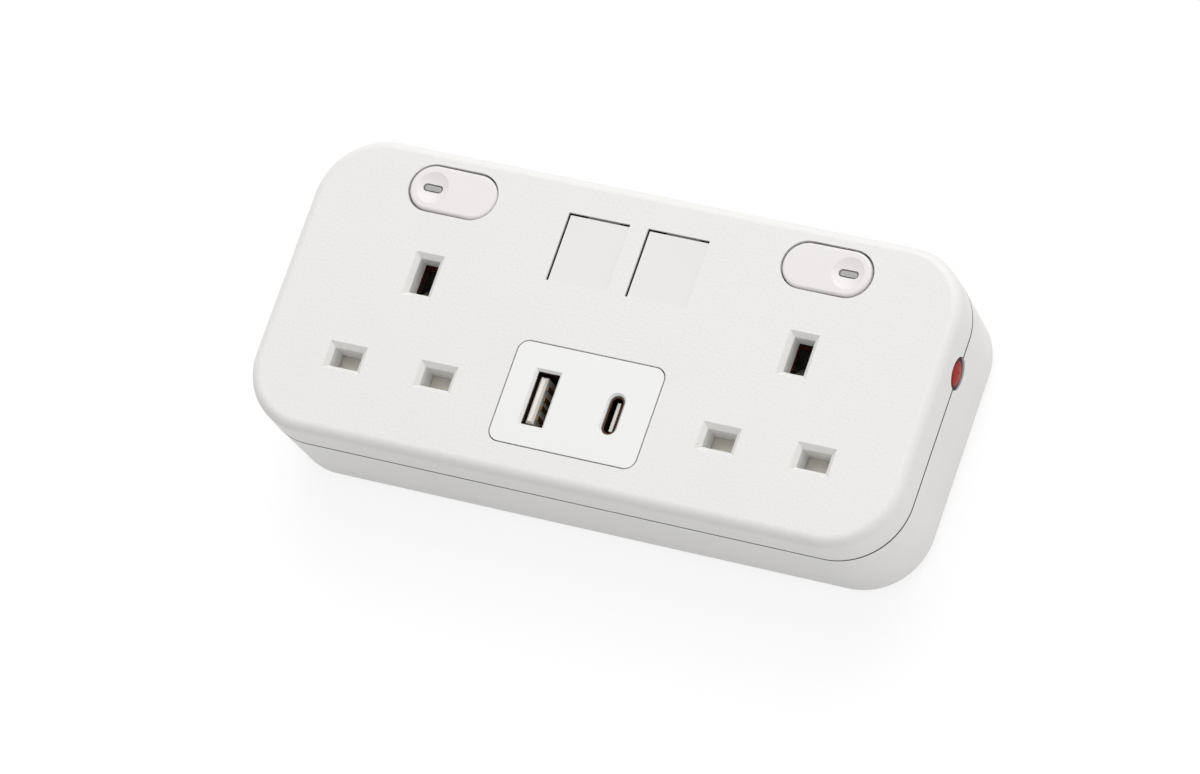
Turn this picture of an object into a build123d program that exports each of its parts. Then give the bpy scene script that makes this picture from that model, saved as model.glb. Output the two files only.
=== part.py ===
"""Twin switched desk socket with a charger plate, in millimetres.

+X runs along the case to the right, +Y to the back where the switches are, +Z out of the face.
The origin is on the table under the middle of the case.
"""
import os
from math import cos, radians, sin, sqrt

from build123d import *

# Case mouldings
body_length = 155.5
body_width = 70.3
corner_radius = 15.6
wall = 2.5
base_depth = 19.9
base_draft = 2.0
cover_depth = 9.4
edge_round = 2.3
base_round = 1.0
seam_gap = 0.5
lip_height = 1.6
lip_thickness = 1.1
slip_clearance = 0.1

# Feet and the screws that close the case
foot_radius = 5.0
foot_thickness = 1.8
foot_proud = 0.8
foot_chamfer = 0.4
foot_inset_x = 26.0
foot_inset_y = 9.5
post_inset = 10.9
post_radius = 3.4
case_screw_radius = 1.45
case_screw_length = 18.8
case_head_radius = 2.8
case_head_height = 1.9
head_recess = 6.0
thread_clearance = 0.05

# Pin slots of the two sockets
socket_inset = 32.65
pin_spacing = 22.23
line_inset = 18.35
earth_slot_x = 4.8
earth_slot_y = 8.3
line_slot_x = 6.9
line_slot_y = 4.4
slot_flare = 1.1
collar_depth = 6.0
earth_collar_depth = 4.8
collar_wall = 1.5

# Shutters, the carriers under them and their springs
shutter_gap = 0.2
shutter_thickness = 1.8
shutter_cover = 1.0
travel_spare = 0.2
arm_width = 7.4
ramp_width = 7.0
ramp_drop = 7.4
ramp_tip = 0.5
ramp_lead = 2.0
ramp_land = 0.3
carrier_thickness = 1.5
carrier_rail = 1.4
carrier_window_gap = 0.3
carrier_neck_width = 13.0
carrier_boss_radius = 2.8
carrier_boss_x = 12.0
carrier_boss_y = 9.5
carrier_edge = 4.0
stop_width = 1.2
spring_room = 9.9
spring_wire = 0.2
wire_sides = 6
spring_radius = 1.35
spring_turns = 7
spring_seat_gap = 0.05
peg_radius = 0.7
peg_length = 2.0
small_screw_radius = 1.1
small_head_radius = 2.2
small_head_height = 1.3
small_screw_bite = 4.0

# Rocker switches
rocker_inset = 9.45
rocker_hole_length = 21.6
rocker_hole_width = 11.4
rocker_gap = 0.4
rocker_proud = 0.15
rocker_round = 0.6
rocker_wall = 1.5
rocker_crown = 1.8
rocker_tilt = 1.4
skirt_depth = 3.0
pivot_depth = 4.3
pivot_radius = 1.2
pivot_clearance = 0.05
pivot_reach = 1.9
ear_thickness = 1.5
ear_width = 6.0
ear_drop = 2.4
ear_side_gap = 0.1
ear_snap = 1.9
ledge_reach = 1.1
ledge_thickness = 1.2
ledge_gap = 0.1
window_reach = 5.1
window_length = 4.7
window_width = 1.85
window_gap = 0.3
window_flange = 0.5
window_flange_thickness = 1.0
dimple_radius = 3.75
dimple_depth = 0.6
tube_radius = 2.3
tube_drop = 5.0
plunger_radius = 1.4
plunger_clearance = 0.1
plunger_top = 2.0
plunger_gap = 0.15
plunger_spring_wire = 0.2
plunger_spring_radius = 1.1
plunger_spring_turns = 5

# See-saw contacts
saw_height = 10.5
saw_tilt = 8.0
saw_margin = 0.5
saw_width = 5.0
saw_thickness = 0.8
saw_reach = 6.2
saw_pivot_radius = 0.9
saw_pivot_length = 8.6
rivet_radius = 1.3
rivet_height = 0.7
contact_gap = 0.1
cradle_length = 5.0
cradle_gap = 0.7
cradle_rise = 1.2

# Brass bars and pin clips
bar_thickness = 0.8
bar_width = 5.0
bar_lift = 0.9
clip_grip_earth = 3.6
clip_grip_line = 3.6
clip_flare = 0.9
clip_spread = 0.5
clip_bend = 0.6
clip_waist = 3.0
clip_length_earth = 7.0
clip_length_line = 6.0
clip_headroom = 0.5
neutral_offset = 10.5
live_turn = 9.7
pad_length = 5.0

# Data blanks
blank_pitch = 19.1
blank_length = 14.8
blank_width = 16.3
blank_inset = 16.7
blank_gap = 0.3
blank_sink = 0.2
blank_shift = 0.25
blank_lip = 0.6
blank_relief = 0.8
blank_strap = 8.0
strap_reach = 1.6
flange_reach = 1.0
flange_thickness = 1.5
hook_thickness = 1.2
hook_nib = 0.8
hook_length = 7.0

# Charger plate, ports and board
plate_length = 35.6
plate_width = 24.2
plate_round = 2.8
plate_gap = 0.3
plate_rise = 0.85
port_rise = 0.3
port_lip = 0.3
port_metal = 0.3
port_clearance = 0.15
wide_port_x = -8.7
wide_port_length = 12.5
wide_port_width = 5.2
wide_port_flare = 0.55
wide_tongue_length = 11.0
wide_tongue_width = 1.84
wide_tongue_offset = 1.23
wide_tongue_sink = 0.5
wide_tongue_chamfer = 0.5
pad_contact_width = 1.0
pad_contact_thickness = 0.25
pad_contact_sink = 1.4
pad_contact_places = (-3.5, -1.0, 1.0, 3.5)
oval_port_x = 8.75
oval_port_length = 8.34
oval_port_width = 2.56
oval_port_flare = 0.45
oval_tongue_length = 6.7
oval_tongue_width = 0.75
oval_tongue_sink = 1.0
board_length = 40.0
board_width = 21.0
board_thickness = 1.6
board_height = 10.4
board_post_radius = 2.4
board_post_x = 17.0
board_post_y = 6.0
transformer_length = 16.0
transformer_width = 13.0
transformer_height = 6.6
transformer_core = 9.0
winding_inset = 0.5
capacitor_radius = 2.9
capacitor_height = 8.0
capacitor_spacing = 7.4
capacitor_chamfer = 0.3

# Red lens with its lamp, on the seam of the right-hand end
lens_y = 11.7
lens_radius = 3.65
lens_dome = 0.5
lens_flange_radius = 4.7
lens_flange = 1.2
lens_tube_radius = 3.0
lens_tube_length = 6.0
lens_skin = 1.2
lamp_radius = 1.7
lamp_length = 9.0
lamp_round = 0.85
lamp_clearance = 0.15
lens_rib = 1.5

# Cord gland and clamp, at the left-hand end
cord_radius = 3.5
gland_clearance = 0.15
gland_wall = 1.55
gland_flange = 0.6
gland_flange_thickness = 1.6
gland_nose = 3.0
gland_nose_wall = 0.8
clamp_inset = 12.0
clamp_width = 6.0
clamp_metal = 1.6
clamp_foot = 6.0
clamp_drop = 1.5
clamp_post_radius = 2.6
saddle_thickness = 2.0

SIDES = (("left", -1), ("right", 1))

# Levels above the table
base_z = foot_proud
seam_z = base_z + base_depth
face_z = seam_z + cover_depth
floor_z = base_z + wall
ceiling_z = face_z - wall
collar_z = face_z - collar_depth
shutter_top = collar_z - shutter_gap
shutter_bottom = shutter_top - shutter_thickness
carrier_top = shutter_bottom - shutter_gap
carrier_bottom = carrier_top - carrier_thickness
pivot_z = face_z - pivot_depth
saw_z = floor_z + saw_height
bar_z = floor_z + bar_lift
board_z = floor_z + board_height
board_top = board_z + board_thickness
end_axis_z = seam_z + seam_gap / 2
port_top = face_z - port_lip - slip_clearance

# Places along and across the case
socket_x = body_length / 2 - socket_inset
line_y = line_inset - body_width / 2
earth_y = line_y + pin_spacing
rocker_x = socket_x
rocker_y = body_width / 2 - rocker_inset
blank_y = body_width / 2 - blank_inset
plate_y = line_y + plate_rise
port_y = line_y + port_rise
neutral_y = line_y - neutral_offset
live_turn_y = rocker_y - live_turn
post_x = body_length / 2 - post_inset
post_y = body_width / 2 - post_inset
end_wall_x = body_length / 2 - wall
gland_end_x = -body_length / 2
gland_bore = cord_radius + gland_clearance
gland_side = 2 * (gland_bore + gland_wall)
earth_places = [(side * socket_x, earth_y) for side in (-1, 1)]
line_places = [
    (side * socket_x + end * pin_spacing / 2, line_y) for side in (-1, 1) for end in (-1, 1)
]
rocker_places = [(side * rocker_x, rocker_y) for side in (-1, 1)]
blank_places = [(side * blank_pitch / 2, blank_y) for side in (-1, 1)]
carrier_screw_places = [
    (side * socket_x + end * carrier_boss_x, line_y + carrier_boss_y)
    for side in (-1, 1)
    for end in (-1, 1)
]
case_posts = [(sx * post_x, sy * post_y) for sx in (-1, 1) for sy in (-1, 1)]
foot_places = [
    (sx * (body_length / 2 - foot_inset_x), sy * (body_width / 2 - foot_inset_y))
    for sx in (-1, 1)
    for sy in (-1, 1)
]
board_posts = [
    (sx * board_post_x, plate_y + sy * board_post_y) for sx in (-1, 1) for sy in (-1, 1)
]

# Shutter outline about its socket, worked out from the slots that it closes
shutter_half_length = pin_spacing / 2 + line_slot_x / 2 + shutter_cover
shutter_half_width = line_slot_y / 2 + shutter_cover
shutter_travel = shutter_half_width + line_slot_y / 2 + travel_spare
earth_slot_front = pin_spacing - earth_slot_y / 2
ramp_start = earth_slot_front - ramp_lead
ramp_slope = earth_slot_front + ramp_land
ramp_end = earth_slot_front + shutter_travel
ramp_bottom = shutter_top - ramp_drop - ramp_tip
spring_z = (shutter_top + shutter_bottom) / 2
spring_front = -shutter_half_width - spring_room
carrier_half_length = shutter_half_length + shutter_gap + carrier_rail

# Rocker sizes, measured from its pivot
tilt = radians(rocker_tilt)
crown_height = face_z + rocker_proud - pivot_z
crown_under = crown_height - rocker_crown
rocker_length = rocker_hole_length - 2 * rocker_gap
rocker_width = rocker_hole_width - 2 * rocker_gap
ledge_length = rocker_hole_length + 2 * ledge_reach
ledge_top = ceiling_z - pivot_z - ledge_length / 2 * sin(tilt) - ledge_gap
ear_y = rocker_hole_width / 2 + ear_side_gap + ear_thickness / 2
plunger_tip = pivot_z - saw_z - saw_thickness / 2 - plunger_gap
dimple_sphere = (dimple_radius**2 + dimple_depth**2) / (2 * dimple_depth)
dimple_rise = crown_height - dimple_depth + dimple_sphere

# Switched contact under the inner end of each see-saw
dip = radians(saw_tilt)
saw_low = (
    saw_reach * sin(dip)
    + (saw_thickness / 2 + rivet_height) * cos(dip)
    + rivet_radius * sin(dip)
)
saw_length = 2 * (saw_reach + rivet_radius + saw_margin)
live_z = saw_z - saw_low - contact_gap - rivet_height - bar_thickness
cradle_y = saw_width / 2 + cradle_gap + bar_thickness / 2
live_bar_width = 2 * cradle_y + bar_thickness

os.makedirs("parts", exist_ok=True)


def case_outline(inset):
    """Rounded outline of the case, drawn in by an even inset."""
    return RectangleRounded(
        body_length - 2 * inset, body_width - 2 * inset, corner_radius - inset
    )


def end_plane(x):
    """Plane across the case's length, centred on the seam, with its normal along +X."""
    return Plane(origin=(x, 0, end_axis_z), x_dir=(0, 1, 0), z_dir=(1, 0, 0))


def clip_profile(grip, low, high):
    """Folded U of strip with a pinched waist and a flared mouth."""
    half = grip / 2 + bar_thickness / 2
    waist_z = high - clip_waist
    low_z = low + bar_thickness / 2
    with BuildLine() as fold:
        FilletPolyline(
            (-half - clip_flare, high - bar_thickness / 2),
            (-half, waist_z),
            (-half - clip_spread, low_z),
            (half + clip_spread, low_z),
            (half, waist_z),
            (half + clip_flare, high - bar_thickness / 2),
            radius=clip_bend,
        )
    trace(fold.line, line_width=bar_thickness)


# Top cover: one moulding with the face, the collars round the slots, bosses, switch ears and hooks
with BuildPart() as top_cover:
    with BuildSketch(Plane.XY.offset(seam_z + seam_gap)):
        case_outline(0)
    extrude(amount=cover_depth - seam_gap)
    fillet(top_cover.faces().sort_by(Axis.Z)[-1].edges(), edge_round)
    with BuildSketch(Plane.XY.offset(seam_z + seam_gap)):
        case_outline(wall)
    extrude(amount=ceiling_z - seam_z - seam_gap, mode=Mode.SUBTRACT)
    with BuildSketch(Plane.XY.offset(seam_z + seam_gap)):
        case_outline(wall - lip_thickness - slip_clearance)
    extrude(amount=lip_height - seam_gap, mode=Mode.SUBTRACT)
    # Collars and slots
    with BuildSketch(Plane.XY.offset(face_z - earth_collar_depth)):
        with Locations(*earth_places):
            Rectangle(earth_slot_x + 2 * collar_wall, earth_slot_y + 2 * collar_wall)
    extrude(amount=earth_collar_depth - wall)
    with BuildSketch(Plane.XY.offset(collar_z)):
        with Locations(*line_places):
            Rectangle(line_slot_x + 2 * collar_wall, line_slot_y + 2 * collar_wall)
    extrude(amount=collar_depth - wall)
    with BuildSketch(Plane.XY.offset(collar_z)):
        with Locations(*earth_places):
            Rectangle(earth_slot_x, earth_slot_y)
        with Locations(*line_places):
            Rectangle(line_slot_x, line_slot_y)
    extrude(amount=collar_depth, mode=Mode.SUBTRACT)
    chamfer(top_cover.faces().sort_by(Axis.Z)[-1].inner_wires().edges(), slot_flare)
    # Holes for the rockers, the data blanks and the charger plate
    with BuildSketch(Plane.XY.offset(ceiling_z)):
        with Locations(*rocker_places):
            SlotOverall(rocker_hole_length, rocker_hole_width)
        with Locations(*blank_places):
            Rectangle(blank_length, blank_width)
        with Locations((0, plate_y)):
            RectangleRounded(plate_length, plate_width, plate_round)
    extrude(amount=wall, mode=Mode.SUBTRACT)
    # Relief behind the data places, which leaves a thin lip round each blank
    with BuildSketch(Plane.XY.offset(ceiling_z)):
        with Locations(*blank_places):
            Rectangle(blank_length + 2 * blank_relief, blank_width + 2 * blank_relief)
    extrude(amount=wall - blank_lip, mode=Mode.SUBTRACT)
    # Bosses for the case screws and the carrier screws
    with BuildSketch(Plane.XY.offset(seam_z)):
        with Locations(*case_posts):
            Circle(post_radius)
    extrude(amount=ceiling_z - seam_z)
    with BuildSketch(Plane.XY.offset(seam_z)):
        with Locations(*case_posts):
            Circle(case_screw_radius + thread_clearance)
    extrude(amount=ceiling_z - seam_z - slip_clearance, mode=Mode.SUBTRACT)
    with BuildSketch(Plane.XY.offset(carrier_top)):
        with Locations(*carrier_screw_places):
            Circle(carrier_boss_radius)
            Circle(small_screw_radius + thread_clearance, mode=Mode.SUBTRACT)
    extrude(amount=ceiling_z - carrier_top)
    # Ears that the rockers' pins snap into from below
    with BuildSketch(Plane.XY.offset(pivot_z - ear_drop)):
        with Locations(*rocker_places):
            with GridLocations(0, 2 * ear_y, 1, 2):
                Rectangle(ear_width, ear_thickness)
    extrude(amount=ceiling_z - pivot_z + ear_drop)
    for side in (-1, 1):
        with BuildSketch(Plane(origin=(side * rocker_x, rocker_y, pivot_z), z_dir=(0, 1, 0))):
            Circle(pivot_radius + pivot_clearance)
        extrude(amount=ear_y + ear_thickness / 2, both=True, mode=Mode.SUBTRACT)
    with BuildSketch(Plane.XY.offset(pivot_z - ear_drop)):
        with Locations(*rocker_places):
            Rectangle(ear_snap, 2 * ear_y + ear_thickness)
    extrude(amount=ear_drop, mode=Mode.SUBTRACT)
    # Hooks that hold the flanges of the blanks and of the charger plate
    hook_bottom = ceiling_z - flange_thickness - slip_clearance - hook_thickness
    blank_hook_span = blank_width + 2 * (strap_reach + slip_clearance)
    plate_hook_span = plate_length + 2 * (flange_reach + slip_clearance)
    with BuildSketch(Plane.XY.offset(hook_bottom)):
        with Locations(*blank_places):
            with GridLocations(0, blank_hook_span + hook_thickness, 1, 2):
                Rectangle(hook_length, hook_thickness)
        with Locations((0, plate_y)):
            with GridLocations(plate_hook_span + hook_thickness, 0, 2, 1):
                Rectangle(hook_thickness, hook_length)
    extrude(amount=ceiling_z - hook_bottom)
    with BuildSketch(Plane.XY.offset(hook_bottom)):
        with Locations(*blank_places):
            with GridLocations(0, blank_hook_span - hook_nib, 1, 2):
                Rectangle(hook_length, hook_nib)
        with Locations((0, plate_y)):
            with GridLocations(plate_hook_span - hook_nib, 0, 2, 1):
                Rectangle(hook_nib, hook_length)
    extrude(amount=hook_thickness)
    # A half hole for the lens and a square notch for the gland, in the end walls
    with BuildSketch(end_plane(end_wall_x)):
        with Locations((lens_y, 0)):
            Circle(lens_radius + slip_clearance)
    extrude(amount=wall, mode=Mode.SUBTRACT)
    with BuildSketch(end_plane(gland_end_x)):
        Rectangle(gland_side + 2 * slip_clearance, gland_side + 2 * slip_clearance)
    extrude(amount=wall, mode=Mode.SUBTRACT)
top_cover.part.label = "top_cover"
export_step(top_cover.part, "parts/top_cover.step")

# Base shell: the rear moulding with the lip, screw posts and the pads that the bars lie on
bar_pads = [
    (-socket_x, earth_y),
    (0, earth_y),
    (socket_x, earth_y),
    (-socket_x - pin_spacing / 2, line_y),
    (socket_x - pin_spacing / 2, line_y),
    (-socket_x, neutral_y),
    (-rocker_x, rocker_y),
    (0, rocker_y),
    (rocker_x, rocker_y),
]
live_pads = [
    (-socket_x + pin_spacing / 2, line_y),
    (-socket_x + pin_spacing / 2, live_turn_y),
    (socket_x + pin_spacing / 2, line_y),
    (socket_x + pin_spacing / 2, live_turn_y),
]
clamp_x = clamp_inset - body_length / 2
clamp_post_y = cord_radius + clamp_metal + clamp_foot / 2
clamp_posts = [(clamp_x, -clamp_post_y), (clamp_x, clamp_post_y)]
clamp_seat_z = end_axis_z - clamp_drop
saddle_z = end_axis_z - cord_radius - slip_clearance
with BuildPart() as base_shell:
    with BuildSketch(Plane.XY.offset(seam_z)):
        case_outline(0)
    extrude(amount=-base_depth, taper=base_draft)
    fillet(base_shell.faces().sort_by(Axis.Z)[0].edges(), base_round)
    with BuildSketch(Plane.XY.offset(seam_z)):
        case_outline(wall - lip_thickness)
    extrude(amount=lip_height)
    with BuildSketch(Plane.XY.offset(floor_z)):
        case_outline(wall)
    extrude(amount=base_depth - wall + lip_height, mode=Mode.SUBTRACT)
    with BuildSketch(Plane.XY.offset(floor_z)):
        with Locations(*case_posts):
            Circle(post_radius)
    extrude(amount=seam_z - floor_z)
    with BuildSketch(Plane.XY.offset(floor_z)):
        with Locations(*bar_pads):
            Rectangle(pad_length, pad_length)
    extrude(amount=bar_lift)
    with BuildSketch(Plane.XY.offset(floor_z)):
        with Locations(*live_pads):
            Rectangle(pad_length, pad_length)
    extrude(amount=live_z - floor_z)
    with BuildSketch(Plane.XY.offset(floor_z)):
        with Locations(*board_posts):
            Circle(board_post_radius)
    extrude(amount=board_height)
    with BuildSketch(Plane.XY.offset(board_z - small_screw_bite)):
        with Locations(*board_posts):
            Circle(small_screw_radius + thread_clearance)
    extrude(amount=small_screw_bite, mode=Mode.SUBTRACT)
    # Posts and saddle of the cord clamp
    with BuildSketch(Plane.XY.offset(floor_z)):
        with Locations(*clamp_posts):
            Circle(clamp_post_radius)
    extrude(amount=clamp_seat_z - floor_z)
    with BuildSketch(Plane.XY.offset(floor_z)):
        with Locations((clamp_x, 0)):
            Rectangle(saddle_thickness, 2 * clamp_post_y)
    extrude(amount=saddle_z - floor_z)
    with BuildSketch(Plane.XY.offset(clamp_seat_z - small_screw_bite)):
        with Locations(*clamp_posts):
            Circle(small_screw_radius + thread_clearance)
    extrude(amount=small_screw_bite, mode=Mode.SUBTRACT)
    # Rib that stands behind the lens flange
    with BuildSketch(Plane.XY.offset(floor_z)):
        with Locations((end_wall_x - lens_flange - slip_clearance - lens_rib / 2, lens_y)):
            Rectangle(lens_rib, 2 * lens_flange_radius)
    extrude(amount=end_axis_z - floor_z)
    with BuildSketch(end_plane(end_wall_x - lens_flange - slip_clearance - lens_rib)):
        with Locations((lens_y, 0)):
            Circle(lens_tube_radius + slip_clearance)
    extrude(amount=lens_rib, mode=Mode.SUBTRACT)
    # The other halves of the lens hole and the gland's notch, through the wall and the lip
    with BuildSketch(end_plane(end_wall_x)):
        with Locations((lens_y, 0)):
            Circle(lens_radius + slip_clearance)
    extrude(amount=wall, mode=Mode.SUBTRACT)
    with BuildSketch(end_plane(gland_end_x)):
        Rectangle(gland_side + 2 * slip_clearance, gland_side + 2 * slip_clearance)
    extrude(amount=wall, mode=Mode.SUBTRACT)
    # Recesses for the feet and the case screws
    with BuildSketch(Plane.XY.offset(base_z)):
        with Locations(*foot_places):
            Circle(foot_radius + slip_clearance)
    extrude(amount=foot_thickness - foot_proud, mode=Mode.SUBTRACT)
    with BuildSketch(Plane.XY.offset(base_z)):
        with Locations(*case_posts):
            Circle(case_head_radius + slip_clearance)
    extrude(amount=head_recess, mode=Mode.SUBTRACT)
    with BuildSketch(Plane.XY.offset(base_z)):
        with Locations(*case_posts):
            Circle(case_screw_radius + thread_clearance)
    extrude(amount=base_depth, mode=Mode.SUBTRACT)
base_shell.part.label = "base_shell"
export_step(base_shell.part, "parts/base_shell.step")

# Case screws, put in from below
with BuildPart() as case_screws:
    with BuildSketch(Plane.XY.offset(base_z + head_recess - case_head_height)):
        with Locations(*case_posts):
            Circle(case_head_radius)
    extrude(amount=case_head_height)
    with BuildSketch(Plane.XY.offset(base_z + head_recess)):
        with Locations(*case_posts):
            Circle(case_screw_radius)
    extrude(amount=case_screw_length)
case_screws.part.label = "case_screws"
export_step(case_screws.part, "parts/case_screws.step")

# Rubber feet, stuck into their recesses
with BuildPart() as rubber_feet:
    with BuildSketch():
        with Locations(*foot_places):
            Circle(foot_radius)
    extrude(amount=foot_thickness)
    chamfer(rubber_feet.faces().group_by(Axis.Z)[0].edges(), foot_chamfer)
rubber_feet.part.label = "rubber_feet"
export_step(rubber_feet.part, "parts/rubber_feet.step")

# Shutters: a plate under both line slots, an arm, and a ramp under the earth slot
for side_name, side in SIDES:
    with BuildPart() as shutter:
        with BuildSketch(Plane.XY.offset(shutter_bottom)):
            with Locations((side * socket_x, line_y)):
                Rectangle(2 * shutter_half_length, 2 * shutter_half_width)
            with Locations((side * socket_x, line_y + ramp_slope / 2)):
                Rectangle(arm_width, ramp_slope)
        extrude(amount=shutter_thickness)
        with BuildSketch(Plane(origin=(side * socket_x, line_y, 0), x_dir=(0, 1, 0), z_dir=(1, 0, 0))):
            Polygon(
                (ramp_start, shutter_top),
                (ramp_slope, shutter_top),
                (ramp_end, shutter_top - ramp_drop),
                (ramp_end, ramp_bottom),
                (ramp_start, ramp_bottom),
                align=None,
            )
        extrude(amount=ramp_width / 2, both=True)
        peg_root = (side * socket_x, line_y - shutter_half_width, spring_z)
        with BuildSketch(Plane(origin=peg_root, z_dir=(0, -1, 0))):
            Circle(peg_radius)
        extrude(amount=peg_length)
    shutter.part.label = f"shutter_{side_name}"
    export_step(shutter.part, f"parts/shutter_{side_name}.step")

# Shutter carriers: plates with rails, stops and a spring seat, screwed up against the cover's bosses
for side_name, side in SIDES:
    window_back = pin_spacing + earth_slot_y / 2 + carrier_window_gap
    window_front = ramp_start - shutter_travel - carrier_window_gap
    plate_back = carrier_boss_y + carrier_edge
    neck_back = window_back + carrier_rail
    plate_front = spring_front - carrier_rail
    with BuildPart() as carrier:
        with BuildSketch(Plane(origin=(side * socket_x, line_y, carrier_bottom))):
            with Locations((0, (plate_back + plate_front) / 2)):
                Rectangle(2 * carrier_half_length, plate_back - plate_front)
            with Locations((0, (plate_back + neck_back) / 2)):
                Rectangle(carrier_neck_width, neck_back - plate_back)
            with GridLocations(pin_spacing, 0, 2, 1):
                Rectangle(
                    line_slot_x + 2 * carrier_window_gap,
                    line_slot_y + 2 * carrier_window_gap,
                    mode=Mode.SUBTRACT,
                )
            with Locations((0, (window_back + window_front) / 2)):
                Rectangle(
                    ramp_width + 2 * carrier_window_gap, window_back - window_front, mode=Mode.SUBTRACT
                )
            with Locations((0, (spring_front - shutter_half_width) / 2)):
                Rectangle(
                    2 * (spring_radius + spring_wire + shutter_gap),
                    -shutter_half_width - spring_front,
                    mode=Mode.SUBTRACT,
                )
            with Locations((-carrier_boss_x, carrier_boss_y), (carrier_boss_x, carrier_boss_y)):
                Circle(small_screw_radius + thread_clearance, mode=Mode.SUBTRACT)
        extrude(amount=carrier_thickness)
        # Side rails, stops behind the plate and the spring's end wall
        rail_back = shutter_half_width + shutter_gap + stop_width
        rail_front = -shutter_half_width - shutter_travel - shutter_gap
        with BuildSketch(Plane(origin=(side * socket_x, line_y, carrier_top))):
            with Locations((0, (rail_back + rail_front) / 2)):
                with GridLocations(2 * carrier_half_length - carrier_rail, 0, 2, 1):
                    Rectangle(carrier_rail, rail_back - rail_front)
            with Locations((0, rail_back - stop_width / 2)):
                with GridLocations(2 * carrier_half_length - line_slot_x, 0, 2, 1):
                    Rectangle(line_slot_x, stop_width)
            with Locations((0, spring_front - carrier_rail / 2)):
                Rectangle(arm_width, carrier_rail)
        extrude(amount=shutter_thickness + shutter_gap)
        seat_centre = (side * socket_x, line_y + spring_front, spring_z)
        with BuildSketch(Plane(origin=seat_centre, z_dir=(0, 1, 0))):
            Circle(peg_radius)
        extrude(amount=peg_length)
    carrier.part.label = f"shutter_carrier_{side_name}"
    export_step(carrier.part, f"parts/shutter_carrier_{side_name}.step")

# Shutter springs: coils between each shutter's front edge and its carrier's end wall
for side_name, side in SIDES:
    coil_end = spring_wire + spring_seat_gap
    coil_height = spring_room - 2 * coil_end
    with BuildPart() as shutter_spring:
        with BuildLine() as coil:
            Helix(
                pitch=coil_height / spring_turns,
                height=coil_height,
                radius=spring_radius,
                center=(side * socket_x, line_y + spring_front + coil_end, spring_z),
                direction=(0, 1, 0),
            )
        with BuildSketch(Plane(origin=coil.line @ 0, z_dir=coil.line % 0)):
            RegularPolygon(spring_wire, wire_sides)
        sweep(path=coil.line, is_frenet=True)
    shutter_spring.part.label = f"shutter_spring_{side_name}"
    export_step(shutter_spring.part, f"parts/shutter_spring_{side_name}.step")

# Screws that hold the carriers to the cover
with BuildPart() as carrier_screws:
    with BuildSketch(Plane.XY.offset(carrier_bottom - small_head_height)):
        with Locations(*carrier_screw_places):
            Circle(small_head_radius)
    extrude(amount=small_head_height)
    with BuildSketch(Plane.XY.offset(carrier_bottom)):
        with Locations(*carrier_screw_places):
            Circle(small_screw_radius)
    extrude(amount=carrier_thickness + small_screw_bite)
carrier_screws.part.label = "carrier_screws"
export_step(carrier_screws.part, "parts/carrier_screws.step")

# Earth bar: one brass strip between the two earth clips
with BuildPart() as earth_bar:
    with BuildSketch(Plane.XY.offset(bar_z)):
        with Locations((0, earth_y)):
            Rectangle(2 * socket_x, bar_width)
    extrude(amount=bar_thickness)
    for side in (-1, 1):
        with BuildSketch(Plane(origin=(side * socket_x, earth_y, 0), x_dir=(1, 0, 0), z_dir=(0, -1, 0))):
            clip_profile(clip_grip_earth, bar_z, ramp_bottom - clip_headroom)
        extrude(amount=clip_length_earth / 2, both=True)
earth_bar.part.label = "earth_bar"
export_step(earth_bar.part, "parts/earth_bar.step")

# Neutral bar: runs along the front wall, with a tab back to each neutral clip
neutral_places = [-socket_x - pin_spacing / 2, socket_x - pin_spacing / 2]
with BuildPart() as neutral_bar:
    with BuildSketch(Plane.XY.offset(bar_z)):
        with Locations(((neutral_places[0] + neutral_places[1]) / 2, neutral_y)):
            Rectangle(2 * socket_x + bar_width, bar_width)
        with Locations(*[(x, (line_y + neutral_y) / 2) for x in neutral_places]):
            Rectangle(bar_width, neutral_offset)
    extrude(amount=bar_thickness)
    for x in neutral_places:
        with BuildSketch(Plane(origin=(x, line_y, 0), x_dir=(0, 1, 0), z_dir=(1, 0, 0))):
            clip_profile(clip_grip_line, bar_z, carrier_bottom - clip_headroom)
        extrude(amount=clip_length_line / 2, both=True)
neutral_bar.part.label = "neutral_bar"
export_step(neutral_bar.part, "parts/neutral_bar.step")

# Live bar: feeds both switches, with a forked cradle under each see-saw
with BuildPart() as live_bar:
    with BuildSketch(Plane.XY.offset(bar_z)):
        with Locations((0, rocker_y)):
            Rectangle(2 * rocker_x + cradle_length, live_bar_width)
    extrude(amount=bar_thickness)
    with BuildSketch(Plane.XY.offset(bar_z)):
        with Locations(*rocker_places):
            with GridLocations(0, 2 * cradle_y, 1, 2):
                Rectangle(cradle_length, bar_thickness)
    extrude(amount=saw_z + cradle_rise - bar_z)
    with BuildSketch(Plane.XY.offset(saw_z)):
        with Locations(*rocker_places):
            Rectangle(2 * (saw_pivot_radius + pivot_clearance), live_bar_width)
    extrude(amount=cradle_rise, mode=Mode.SUBTRACT)
    for side in (-1, 1):
        with BuildSketch(Plane(origin=(side * rocker_x, rocker_y, saw_z), z_dir=(0, 1, 0))):
            Circle(saw_pivot_radius + pivot_clearance)
        extrude(amount=live_bar_width / 2, both=True, mode=Mode.SUBTRACT)
live_bar.part.label = "live_bar"
export_step(live_bar.part, "parts/live_bar.step")

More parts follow.
